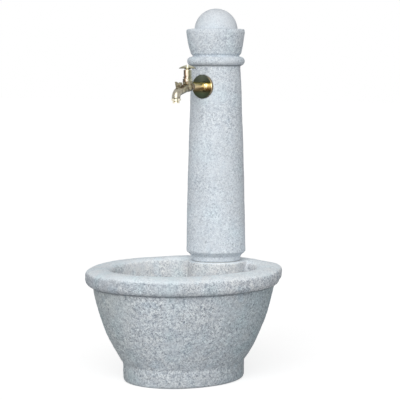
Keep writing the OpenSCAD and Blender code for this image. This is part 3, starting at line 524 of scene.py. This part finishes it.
def minerals(tree, place, warped, fine, grain):
    """Speckle of pale feldspar, grey quartz, small dark mica and clumps of dark grains."""
    broad = tree.first(tree.cells(warped, BROAD_CELLS / grain))
    level = tree.plus(tree.times(fine, FINE_SHARE), tree.times(broad, 1.0 - FINE_SHARE))
    mica = tree.first(tree.cells(pushed(tree, place, grain, MICA_PUSHED), MICA_CELLS / grain))
    speckle = tree.mix(1.0, tree.ramp(level, MINERALS), tree.ramp(mica, MICA, stepped=True), "MULTIPLY")
    clumps = tree.range(tree.noise(place, CLUMP_WAVES / grain, rough=0.7), *CLUMPED)
    return tree.toned(speckle, clumps, CLUMP_TONE)


def pits(tree, place):
    """1 in small pits, which about half of the cells have."""
    warped = tree.ragged(place, *PITS_PUSHED)
    pit = tree.range(tree.cells(warped, 1.0 / PIT_SPACING, "Distance"), *PIT_EDGE)
    has_pit = tree.range(tree.first(tree.cells(warped, 1.0 / PIT_SPACING)), *PITTED)
    return tree.times(pit, has_pit)


def bowl_zones(tree, place, height):
    """1 on the rim's honed top and 1 in the washed hollow, both of which also get painted light."""
    honed_lit = tree.times(tree.range(tree.slope(), *HONED_SLOPES), tree.range(height, *HONED_HEIGHTS))
    reach = tree.length(place, (1.0 / OPENING_X, 1.0 / OPENING_Y, 0.0))
    inward = tree.minus(reach, tree.times(height, HOLLOW_NARROWS))
    washed_lit = tree.times(tree.range(inward, *WASHED_LIT_REACH), tree.minus(1.0, honed_lit))
    return honed_lit, washed_lit


def side_and_corner_tones(tree, place, colour, height, washed_lit, honed_lit):
    """Painted shade with a green-grey tint on the flanks, a rim lighter to the right and darker to the left,
    and painted light and shade beside the pier.
    """
    sideways = tree.plus(tree.along(place, SIDEWAYS_WAY), tree.wander(place, *SIDEWAYS_EDGES))
    outside = tree.minus(1.0, washed_lit)
    flank = tree.times(tree.range(height, RIM_CORNER + FADE, RIM_CORNER - FADE), outside)
    rim = tree.times(tree.range(height, RIM_CORNER - FADE, RIM_CORNER + FADE), outside)
    matt_rim = tree.times(rim, tree.left_over(honed_lit, HONED_SIDE_TONES))
    # Painted shade on the flanks, and the rim lighter to the right and darker to the left
    for zone, (start, full, tone) in ((flank, RIGHT_FLANK_SHADE), (flank, LEFT_FLANK_SHADE),
                                      (matt_rim, RIM_RIGHT_LIGHTER), (matt_rim, RIM_LEFT_DARKER)):
        colour = tree.toned(colour, tree.times(tree.range(sideways, start, full), zone), tone)
    # Painted light and shade in the corners beside the pier
    for corner, reach, tone in PIER_CORNER_PAINT:
        distance = tree.length(tree.shifted(place, corner), (1.0, 1.0, 0.0))
        near = tree.range(distance, reach, reach * PIER_PAINT_FULL)
        colour = tree.toned(colour, tree.times(near, washed_lit), tone)
    return colour


def bowl_colour(tree, place, colour, height, washed_lit, honed_lit):
    """Painted light in the hollow and on top, flank shade, rim tones, pier light and shade, a foot darker low
    down, and corner shade under the rim.
    """
    # Painted light: the hollow is made paler, as if light fell into it
    colour = tree.toned(colour, washed_lit, HOLLOW_LIGHT_TONE)
    # Painted light: the rim's honed top is made paler, as if lit from above
    colour = tree.toned(colour, honed_lit, HONED_TOP_LIGHT_TONE)
    colour = side_and_corner_tones(tree, place, colour, height, washed_lit, honed_lit)
    # The foot, darker towards the bottom
    colour = tree.shaded(colour, tree.range(height, *FOOT_LOW_HEIGHTS, 1.0, FOOT_LOW_TONE))
    # Painted shade: a dark line in the corner under the rim
    corner_shade = near_level(tree, height, RIM_CORNER, *RIM_CORNER_SHADE_REACH)
    return tree.toned(colour, tree.times(corner_shade, RIM_CORNER_SHADE_SHARE, tree.minus(1.0, washed_lit)), RIM_CORNER_SHADE)


def column_colour(tree, colour, height):
    """A shaft that is paler low down, and painted shade in the corner under the collar."""
    colour = tree.shaded(colour, tree.range(height, *LOW_TONE_HEIGHTS, 1.0, LOW_TONE))
    # Painted shade: a dark line in the corner under the collar
    corner_shade = near_level(tree, height, COLLAR_CORNER, *COLLAR_CORNER_SHADE_REACH)
    return tree.toned(colour, tree.times(corner_shade, COLLAR_CORNER_SHADE_SHARE), COLLAR_CORNER_SHADE)


def granite(name, tone, grain, contrast, bump_depth, bowl=False):
    """Fine grey granite. Grain is the width of a mineral and contrast the strength of the speckle.

    The bowl's rim is honed on top, with less speckle and relief, and has painted light there. Its hollow is
    washed, with less speckle, and has painted light too, and its foot is a little darker towards the bottom.
    """
    tree = Tree(name)
    place = tree.place()
    height = tree.axes(place)[2]
    warped = pushed(tree, place, grain, CELLS_PUSHED)
    fine = tree.first(tree.cells(warped, FINE_CELLS / grain))
    pit = pits(tree, place)
    share = tree.range(tree.noise(place, SPECKLE_WAVES), *SPECKLE_SPREAD,
                       contrast * SPECKLE_LEAST, contrast * SPECKLE_MOST)
    relief = 1.0
    if bowl:
        honed_lit, washed_lit = bowl_zones(tree, place, height)
        rough_share = tree.times(tree.range(height, *RIM_HEIGHTS, 1.0, RIM_SPECKLE),
                                 tree.left_over(honed_lit, HONED_SPECKLE))
        flank_share = tree.range(tree.along(place, SIDEWAYS_WAY), *SPECKLED_FLANK, 1.0, FLANK_SPECKLE)
        share = tree.times(share, rough_share, tree.left_over(washed_lit, WASHED_SPECKLE), flank_share)
        pit = tree.times(pit, rough_share)
        relief = tree.left_over(honed_lit, HONED_RELIEF)
    else:
        collar = near_level(tree, height, COLLAR_LEVEL, COLLAR_ROUND + FADE, COLLAR_ROUND - FADE)
        low_share = tree.range(height, *LOW_SPECKLE_HEIGHTS, 1.0, LOW_SPECKLE)
        share = tree.times(share, tree.left_over(collar, COLLAR_SPECKLE), low_share)
    speckle = minerals(tree, place, warped, fine, grain)
    colour = tree.mix(1.0, tone, tree.mix(share, PLAIN, speckle), "MULTIPLY")
    clouds = tree.first(tree.noise(place, TINT_WAVES, detail=3.0, rough=0.55, output="Color"))
    colour = tree.toned(colour, BOWL_TINTED if bowl else TINTED, tree.ramp(clouds, TINTS))
    light = tree.range(tree.noise(place, LIGHT_WAVES), *NOISE_SPREAD, LIGHT_LEAST, LIGHT_MOST)
    colour = tree.shaded(colour, light)
    colour = tree.toned(colour, tree.times(pit, PIT_SHARE), PIT_TONE)
    if bowl:
        colour = bowl_colour(tree, place, colour, height, washed_lit, honed_lit)
    else:
        colour = column_colour(tree, colour, height)
    dents = tree.noise(warped, DENT_WAVES / grain, detail=4.0, rough=0.65)
    bumps = tree.minus(tree.plus(dents, tree.times(fine, FINE_BUMP)), pit)
    tree.bump(tree.times(bumps, relief), bump_depth)
    return tree.finish(Base_Color=colour, Roughness=GRANITE_ROUGHNESS, Specular_IOR_Level=GRANITE_SPECULAR)


# Metal and the other materials

def finish_metal(tree, colour, roughness, least=0.7, most=1.4):
    """Metal with fine scratches. Its roughness varies between the least and the most of the one given."""
    place = tree.place()
    haze = tree.range(tree.noise(place, HAZE_WAVES, detail=3.0), *NOISE_SPREAD, least, most)
    tree.bump(tree.noise(place, SCRATCH_WAVES), SCRATCH_DEPTH, SCRATCH_STRENGTH)
    return tree.finish(Base_Color=colour, Roughness=tree.times(haze, roughness), Metallic=1.0)


def metal(name, tone, roughness, wear=0.12):
    """Polished or drawn metal with faint stains."""
    tree = Tree(name)
    stains = tree.noise(tree.place(), METAL_STAIN_WAVES, detail=4.0, rough=0.6)
    stained_share = tree.range(stains, *METAL_STAINED, 0.0, wear)
    colour = tree.mix(stained_share, tone, tuple(c * METAL_STAIN_TONE for c in tone))
    return finish_metal(tree, colour, roughness, least=0.75, most=1.35)


def mottled_brass(tree, place):
    """Tarnish and polish of handled brass, from dark brown to pale."""
    return tree.ramp(tree.noise(place, MOTTLED_WAVES, detail=3.0, rough=0.6), MOTTLED)


def mottle(tree, place, colour, share):
    """The colour under a share of the patches of handled brass."""
    return tree.mix(share, colour, mottled_brass(tree, place))


def barrel_brass(name):
    """The upright barrel: painted reflections brown on its left side and olive on its right side, and a
    painted highlight in front.
    """
    tree = Tree(name)
    place = tree.place()
    turn = math.radians(BARREL_WAY)
    from_axis = tree.shifted(place, (0.0, VALVE_Y, 0.0))
    sideways = tree.along(from_axis, (math.cos(turn), math.sin(turn), 0.0))
    sideways = tree.plus(sideways, tree.wander(place, *BARREL_EDGES))
    # Painted highlight and reflections across the barrel
    tones = tree.ramp(tree.range(sideways, -BARREL_R, BARREL_R), BARREL_LIGHT_TONES)
    return finish_metal(tree, mottle(tree, place, tones, share=0.2), roughness=0.22)


def rosette_brass(name):
    """A painted reflection: a gold band level with the tap's axis between dark olive tarnish, and a rim with a
    painted highlight on the right.
    """
    tree = Tree(name)
    place = tree.place()
    spread = tree.shifted(place, ROSETTE_CENTRE)
    across, _, rise = tree.axes(spread)
    band_rise = tree.plus(rise, tree.wander(place, *ROSETTE_EDGES))
    # Painted reflection: a gold band level with the tap between dark tarnish
    reflected_band = tree.ramp(tree.range(band_rise, -ROSETTE_R, ROSETTE_R), ROSETTE_REFLECTION_TONES)
    # Painted highlight: an upright streak, as turned brass shows
    highlight_streak = tree.range(tree.absolute(across), 0.0, HIGHLIGHT_STREAK_HALF, HIGHLIGHT_STREAK_TONE, BESIDE_HIGHLIGHT_STREAK)
    plate = tree.shaded(reflected_band, highlight_streak)
    on_rim = tree.range(tree.length(spread, (1.0, 0.0, 1.0)), *ROSETTE_RIM_RADII)
    # Painted highlight: the rim lighter towards the right, where it catches the light
    rim = tree.ramp(tree.range(across, -ROSETTE_R, ROSETTE_R), ROSETTE_RIM_LIGHT_TONES)
    return finish_metal(tree, tree.mix(on_rim, plate, rim), roughness=0.2)


def tap_brass(name):
    """The tap's body: neck pipe with a painted gold reflection, brown hexagon, mottled chamber and spout, and
    a bend painted paler as a highlight.
    """
    tree = Tree(name)
    place = tree.place()
    behind = tree.minus(tree.axes(place)[1], VALVE_Y)
    rise = tree.minus(tree.axes(place)[2], ROSETTE_CENTRE.z)
    on_bend = tree.times(tree.range(behind, *BEND_BEHIND), tree.range(rise, *BEND_RISE), BEND_SHARE)
    # Painted highlight: the spout's bend made paler
    colour = tree.mix(on_bend, mottled_brass(tree, place), BRASS_BEND_HIGHLIGHT)
    hexagon = mottle(tree, place, BRASS_HEXAGON, share=0.3)
    colour = tree.mix(tree.range(behind, HEX_FRONT - FADE, HEX_FRONT), colour, hexagon)
    on_pipe = tree.range(behind, HEX_BACK, HEX_BACK + FADE / 2)
    # Painted reflection across the neck pipe, dark below and gold in the middle
    colour = tree.mix(on_pipe, colour, tree.ramp(tree.range(rise, -PIPE_R, PIPE_R), PIPE_REFLECTION_TONES))
    return finish_metal(tree, colour, tree.range(on_pipe, 0.0, 1.0, TAP_ROUGHNESS, PIPE_ROUGHNESS))


def handle_brass(name):
    """Painted light on the pale greenish top, and painted shade on the underside and the left tip."""
    tree = Tree(name)
    place = tree.place()
    across, _, height = tree.axes(place)
    rise = tree.range(height, HANDLE_UNDERSIDE, HANDLE_HIGH.z)
    # Painted shade on the underside and the left tip, painted light on the top
    shaded_tip = tree.times(tree.range(across, *SHADED_TIP_ACROSS), tree.range(rise, *SHADED_TIP_BELOW))
    tones = tree.mix(shaded_tip, tree.ramp(rise, HANDLE_LIGHT_TONES), BRASS_DARK)
    return finish_metal(tree, mottle(tree, place, tones, share=0.25), roughness=0.25)


def nozzle_brass(name):
    """Cream, worn bright, with a few dark stains."""
    tree = Tree(name)
    colour = tree.ramp(tree.noise(tree.place(), NOZZLE_WAVES), NOZZLE_TONES)
    return finish_metal(tree, colour, roughness=0.2)


def drain_brass(name):
    """Dull brass that stands in water."""
    tree = Tree(name)
    return finish_metal(tree, mottle(tree, tree.place(), BRASS_DULL, share=0.55), roughness=0.34)


def plain(name, tone, roughness, waves, depth):
    """Rubber, fibre or mortar: one tone with a fine grain, given as its waves and the depth of its bumps."""
    tree = Tree(name)
    grain = tree.noise(tree.place(), waves, detail=3.0, rough=0.6)
    darker = tree.range(grain, *NOISE_SPREAD, 0.0, GRAIN_SHARE)
    colour = tree.mix(darker, tone, tuple(c * GRAIN_TONE for c in tone))
    tree.bump(grain, depth, GRAIN_STRENGTH)
    return tree.finish(Base_Color=colour, Roughness=roughness)


# Meshes

def joined_copy(node, name):
    """A copy of a CAD node's mesh with its faces joined, as a new piece."""
    mesh = frame["nodes"][node].data.copy()
    work = bmesh.new()
    work.from_mesh(mesh)
    bmesh.ops.remove_doubles(work, verts=work.verts, dist=TINY)
    work.to_mesh(mesh)
    work.free()
    piece = bpy.data.objects.new(name, mesh)
    bpy.context.scene.collection.objects.link(piece)
    return piece


def apply_modifiers(piece):
    graph = bpy.context.evaluated_depsgraph_get()
    mesh = bpy.data.meshes.new_from_object(piece.evaluated_get(graph))
    piece.modifiers.clear()
    piece.data = mesh


def even_mesh(piece, voxel):
    """Remeshes the piece into even quads and softens its edges a little."""
    remesh = piece.modifiers.new("even", "REMESH")
    remesh.mode = "VOXEL"
    remesh.voxel_size = voxel
    remesh.use_smooth_shade = True
    soften = piece.modifiers.new("soften", "SMOOTH")
    soften.factor = 0.5
    soften.iterations = 1
    apply_modifiers(piece)


def points_and_normals(mesh):
    count = len(mesh.vertices)
    points = np.empty(count * 3)
    normals = np.empty(count * 3)
    mesh.vertices.foreach_get("co", points)
    mesh.vertices.foreach_get("normal", normals)
    return points.reshape(-1, 3), normals.reshape(-1, 3)


def rough(points, wavelength, seed):
    """Smooth noise from about -1 to 1 at each point."""
    spots = points / wavelength + seed
    return np.array([2.0 * noise.noise(Vector(spot)) for spot in spots])


def dress_stone(piece, fade, reshape, relief):
    """Moves the surface a little, as hand work does: long waves, tool marks and pecks."""
    points, normals = points_and_normals(piece.data)
    reshape(points)
    depth = sum(deep * rough(points, *wave) for deep, wave in zip(relief, RELIEF_WAVES))
    moved = points + normals * (depth * fade(points))[:, None]
    moved[:, 2] = np.maximum(moved[:, 2], 0.0)  # nothing sinks into the ground
    piece.data.vertices.foreach_set("co", moved.ravel())
    piece.data.update()


def around(points, axis):
    """Distance of each point from an upright axis."""
    return np.hypot(points[:, 0] - axis[0], points[:, 1] - axis[1])


def ease(value, low, high):
    """0 up to low and 1 from high, with a smooth way between."""
    share = np.clip((value - low) / (high - low), 0.0, 1.0)
    return share * share * (3.0 - 2.0 * share)


def basin_fade(points):
    """No relief where other pieces sit: the ground, the drain's recess and pocket, and the column's bed."""
    height = points[:, 2]
    drain = ease(around(points, DRAIN_AXIS), *DRAIN_CLEAR)
    bed = ease(around(points, COLUMN_AXIS), *PIER_CLEAR)
    return ease(height, *GROUND_CLEAR) * np.maximum(drain, ease(height, *DRAIN_CLEAR_UP_TO)) * bed


def column_fade(points):
    """No relief in the bores, on the bed, in the ball's seat and on the rosette's flat."""
    bore = ease(around(points, COLUMN_AXIS), *BORE_CLEAR)
    bed = ease(points[:, 2] - COLUMN_LOW.z, *BED_CLEAR)
    from_rosette = np.hypot(points[:, 0] - ROSETTE_CENTRE.x, points[:, 2] - ROSETTE_CENTRE.z)
    front = points[:, 1] < COLUMN_AXIS[1]
    return bore * bed * np.where(front, ease(from_rosette, *ROSETTE_CLEAR), 1.0)


def push_line(points, axis, distance, line, spread, move, share=1.0):
    """Moves the points near a line round the stone. Line and move are distances outward and up."""
    away = np.hypot(distance - line[0], points[:, 2] - line[1])
    amount = np.exp(-(away / spread) ** 2) * share
    outward = points[:, :2] - axis
    outward /= np.maximum(np.hypot(outward[:, 0], outward[:, 1]), TINY)[:, None]
    points[:, :2] += outward * (amount * move[0])[:, None]
    points[:, 2] += amount * move[1]


def square_rim_end(points):
    """The rim's right end is cut squarer than the rest: fuller at its top edge and flatter under it."""
    heading = np.degrees(np.arctan2(points[:, 1], points[:, 0]))
    reach = np.hypot(points[:, 0], points[:, 1])
    steps = np.arange(-180.0, 180.0 + EDGE_STEP / 2, EDGE_STEP)
    outermost = [reach[np.abs(heading - step) < EDGE_WITHIN].max() for step in steps]
    distance = reach - np.interp(heading, steps, outermost)
    share = 1.0 - ease(np.abs(heading - RIM_END_HEADING), RIM_END_FULL, RIM_END_NONE)
    for line in (RIM_END_TOP, RIM_END_UNDER):
        push_line(points, (0.0, 0.0), distance, *line, share)


def carve_cup(points):
    """The cup's top edge is crisper than the solid's, and its side a little slimmer and off the axis."""
    edge = (COLUMN_HIGH.x - COLUMN_AXIS[0] - CUP_EDGE_IN, COLUMN_HIGH.z - CUP_EDGE_IN)
    distance = around(points, COLUMN_AXIS)
    push_line(points, COLUMN_AXIS, distance, edge, CUP_EDGE_SPREAD, CUP_EDGE_MOVE)
    share = ease(points[:, 2], *CUP_HEIGHTS) * ease(distance, *CUP_SIDE)
    outward = (points[:, :2] - COLUMN_AXIS) / np.maximum(distance, TINY)[:, None]
    points[:, :2] -= (outward * CUP_SLIMMER + np.array(SIDEWAYS_WAY[:2]) * CUP_OFF_AXIS) * share[:, None]


def slim(piece, most):
    """Joins faces where the surface is flattest, down to the number of triangles given."""
    faces = sum(len(face.vertices) - 2 for face in piece.data.polygons)
    if faces > most:
        thin = piece.modifiers.new("slim", "DECIMATE")
        thin.ratio = most / faces
        apply_modifiers(piece)


def stone_piece(node, name, material, voxel, fade, reshape, relief):
    """The dressed stone that stands in for a CAD node."""
    piece = joined_copy(node, name)
    even_mesh(piece, voxel)
    dress_stone(piece, fade, reshape, relief)
    slim(piece, MOST_TRIANGLES)
    piece.data.materials.clear()
    piece.data.materials.append(material)
    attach(piece, STONE_BODY)
    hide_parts(node)


# Light and camera

def key_light():
    """Even light from one side: at level 1 a surface that faces it renders about as its colour is written."""
    light = bpy.data.lights.new("key", "SUN")
    light.energy = KEY_LEVEL * math.pi
    light.angle = math.radians(KEY_SOFTNESS)
    lamp = bpy.data.objects.new("key", light)
    turn = math.radians(KEY_AZIMUTH)
    rise = math.radians(KEY_ELEVATION)
    way = Vector((math.sin(turn) * math.cos(rise), -math.cos(turn) * math.cos(rise), math.sin(rise)))
    lamp.rotation_mode = "QUATERNION"
    lamp.rotation_quaternion = way.to_track_quat("Z", "Y")
    bpy.context.scene.collection.objects.link(lamp)


def world_light():
    """White for rays from the camera, off metal or through glass, and dimmer as light on the object."""
    world = bpy.data.worlds.new("studio")
    world.use_nodes = True
    nodes = world.node_tree.nodes
    links = world.node_tree.links
    path = nodes.new("ShaderNodeLightPath")
    seen = path.outputs["Is Camera Ray"]
    for ray in ("Is Glossy Ray", "Is Transmission Ray"):
        either = nodes.new("ShaderNodeMath")
        either.operation = "MAXIMUM"
        links.new(seen, either.inputs[0])
        links.new(path.outputs[ray], either.inputs[1])
        seen = either.outputs[0]
    strength = nodes.new("ShaderNodeMapRange")
    links.new(seen, strength.inputs["Value"])
    strength.inputs["To Min"].default_value = WORLD_LEVEL
    background = nodes["Background"]
    background.inputs["Color"].default_value = (*PLAIN, 1.0)
    links.new(strength.outputs["Result"], background.inputs["Strength"])
    bpy.context.scene.world = world


def pale_floor():
    """A grey floor that takes the shadow and glows up to white where the camera or metal sees it."""
    half = FLOOR_HALF
    mesh = bpy.data.meshes.new("floor")
    corners = [(-half, -half, 0), (half, -half, 0), (half, half, 0), (-half, half, 0)]
    mesh.from_pydata(corners, [], [(0, 1, 2, 3)])
    floor = bpy.data.objects.new("floor", mesh)
    bpy.context.scene.collection.objects.link(floor)
    tree = Tree("floor")
    path = tree.add("ShaderNodeLightPath")
    seen = tree.math("MAXIMUM", path.outputs["Is Camera Ray"], path.outputs["Is Glossy Ray"])
    tree.finish(Base_Color=(FLOOR_GREY,) * 3, Roughness=1.0, Specular_IOR_Level=0.0,
                Emission_Color=PLAIN, Emission_Strength=tree.times(seen, FLOOR_GLOW))
    mesh.materials.append(tree.material)


def photo_camera():
    camera = bpy.data.objects.new("camera", bpy.data.cameras.new("camera"))
    camera.data.lens = LENS_MM
    camera.data.sensor_width = SENSOR_MM
    camera.location = CAMERA_PLACE
    camera.rotation_mode = "QUATERNION"
    camera.rotation_quaternion = Vector(CAMERA_LOOK).to_track_quat("-Z", "Y")
    bpy.context.scene.collection.objects.link(camera)
    bpy.context.scene.camera = camera


# The object

materials = {
    "granite": granite("granite_column", GRANITE_COLUMN, grain=0.0022, contrast=0.62, bump_depth=0.0006),
    "granite_light": granite("granite_ball", GRANITE_BALL, grain=0.0020, contrast=0.40, bump_depth=0.0002),
    "mortar": plain("mortar", MORTAR, roughness=0.9, waves=500.0, depth=0.0004),
    "brass": metal("brass", BRASS, roughness=0.16),
    "steel": metal("steel", STEEL, roughness=0.34, wear=0.4),
    "copper": metal("copper", COPPER, roughness=0.25),
    "rubber": plain("rubber", RUBBER, roughness=0.7, waves=700.0, depth=0.0001),
    "fibre": plain("fibre", FIBRE, roughness=0.75, waves=600.0, depth=0.0001),
}
for row in frame["record"]["subparts"]:
    node = frame["nodes"][row["node"]]
    node.data.materials.clear()
    node.data.materials.append(materials[row["material_slot"]])

barrel = barrel_brass("brass_barrel")
own_finish = {
    "rosette": rosette_brass("brass_rosette"), "tap_body": tap_brass("brass_tap"),
    "bonnet": barrel, "gland_nut": barrel, "tap_handle": handle_brass("brass_handle"),
    "outlet_nozzle": nozzle_brass("brass_nozzle"), "drain_body": drain_brass("brass_drain"),
}
for name, material in own_finish.items():
    frame["nodes"][name].data.materials[0] = material

bowl_granite = granite("granite_bowl", GRANITE_BOWL, grain=0.0026, contrast=1.05, bump_depth=0.0012,
                       bowl=True)
stone_piece("basin", "basin_stone", bowl_granite,
            BASIN_VOXEL, basin_fade, square_rim_end, BASIN_RELIEF)
stone_piece("column", "column_stone", materials["granite"],
            COLUMN_VOXEL, column_fade, carve_cup, COLUMN_RELIEF)

bpy.context.scene.view_settings.view_transform = "Standard"
pale_floor()
world_light()
key_light()
photo_camera()
